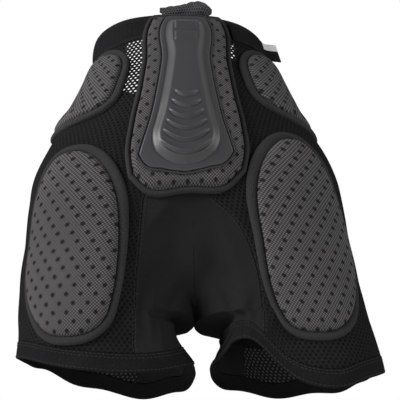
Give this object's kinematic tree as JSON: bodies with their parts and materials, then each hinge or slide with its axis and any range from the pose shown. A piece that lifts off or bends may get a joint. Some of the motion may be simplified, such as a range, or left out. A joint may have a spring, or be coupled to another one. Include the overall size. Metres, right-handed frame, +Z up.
{
  "type": "padded protective shorts",
  "caption": "Padded protective shorts in worn form: a mesh shell with bound foam pads on the hips and thighs and a ribbed plate over the tailbone.",
  "frame": {"origin": "centre of the waist opening, at the mean height of its edge", "axes": "+Z up along the wearer's body, +Y towards the wearer's front, +X towards the wearer's right"},
  "size_m": [0.4282, 0.2545, 0.4919],
  "materials": {
    "net": "matte, open knitted mesh",
    "stretch_cloth": "smooth with a soft sheen",
    "band_cloth": "matte, brushed elastic",
    "covered_foam": "matte, perforated foam under spacer mesh",
    "binding_tape": "matte, ribbed tape",
    "piping_cord": "matte",
    "bare_tab": "matte, bare strip",
    "moulded": "satin"
  },
  "bodies": {
    "root": {"mesh_shell": "net", "seat_gusset": "stretch_cloth", "waistband": "band_cloth", "left_leg_hem": "band_cloth", "right_leg_hem": "band_cloth", "tailbone_pad": "covered_foam", "tailbone_binding": "binding_tape", "tailbone_plate": "moulded", "tailbone_piping": "piping_cord", "tailbone_roll": "net", "left_hip_pad": "covered_foam", "left_hip_binding": "binding_tape", "right_hip_pad": "covered_foam", "right_hip_binding": "binding_tape", "left_thigh_pad": "covered_foam", "left_thigh_binding": "binding_tape", "right_thigh_pad": "covered_foam", "right_thigh_binding": "binding_tape", "waist_strap": "band_cloth", "strap_tab": "bare_tab"}
  },
  "joints": []
}
